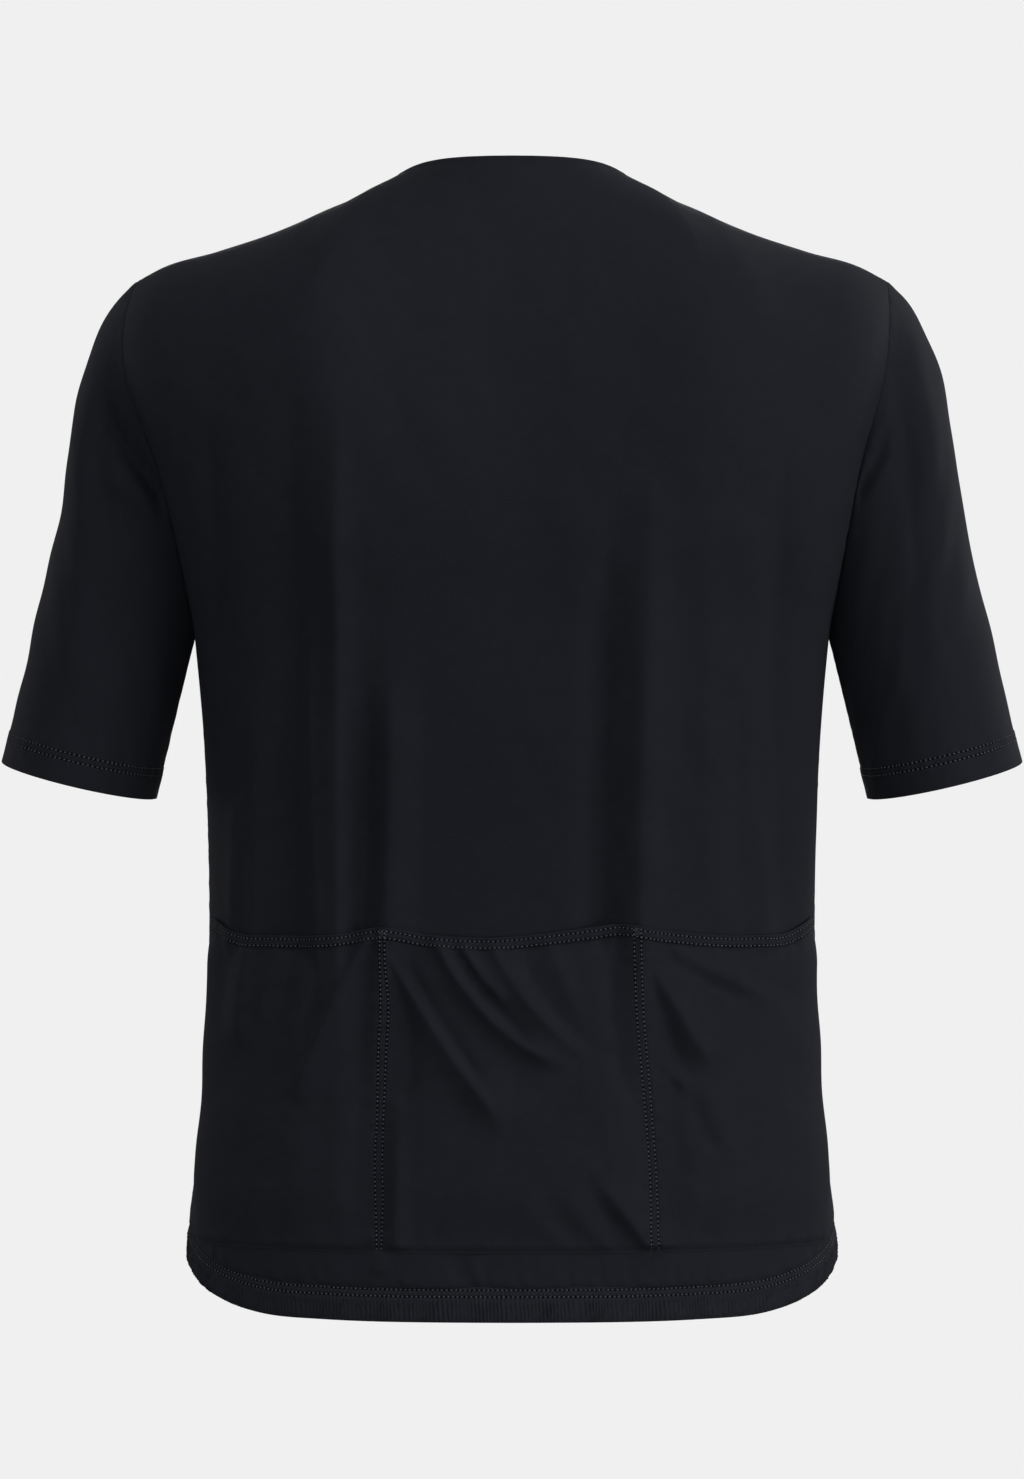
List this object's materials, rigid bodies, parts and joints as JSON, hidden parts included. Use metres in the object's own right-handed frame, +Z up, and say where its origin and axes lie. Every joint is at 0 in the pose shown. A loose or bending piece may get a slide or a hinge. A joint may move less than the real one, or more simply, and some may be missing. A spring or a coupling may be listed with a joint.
{
  "type": "cycling jersey",
  "caption": "Close-fitting short-sleeved cycling jersey with a full front zip, rear pockets in one panel and a gathered elastic hem, filled out as when worn.",
  "frame": {"origin": "centre of the neck base, level with the tops of the shoulder seams, where the wearer's neck passes through", "axes": "+Z up, the front with its zip faces -Y, the back with its pockets faces +Y, and the wearer's left is +X"},
  "size_m": [0.613, 0.2427, 0.6806],
  "materials": {
    "knit": "fine matt single-jersey knit with a soft sheen, near-black",
    "hem_elastic": "gathered elastic hem in the same knit",
    "zip_tape": "woven polyester tape, black",
    "zip_coil": "nylon coil, black, semi-matt",
    "zip_hardware": "black painted die-cast, satin"
  },
  "bodies": {
    "garment": {"back": "knit", "front_left": "knit", "front_right": "knit", "sleeve_left": "knit", "sleeve_right": "knit", "pocket_panel": "knit", "hem_band": "hem_elastic", "zip_tape_left": "zip_tape", "zip_tape_right": "zip_tape", "zip_chain": "zip_coil", "zip_box": "zip_hardware", "zip_slider": "zip_hardware"},
    "pull_tab": {"pull_tab": "zip_hardware"}
  },
  "joints": [
    {"name": "pull_tab_hinge", "type": "hinge", "parent": "garment", "child": "pull_tab", "pos_m": [0, -0.08574, -0.06697], "axis": [-1, 0, 0], "range_deg": [0, 130]}
  ]
}
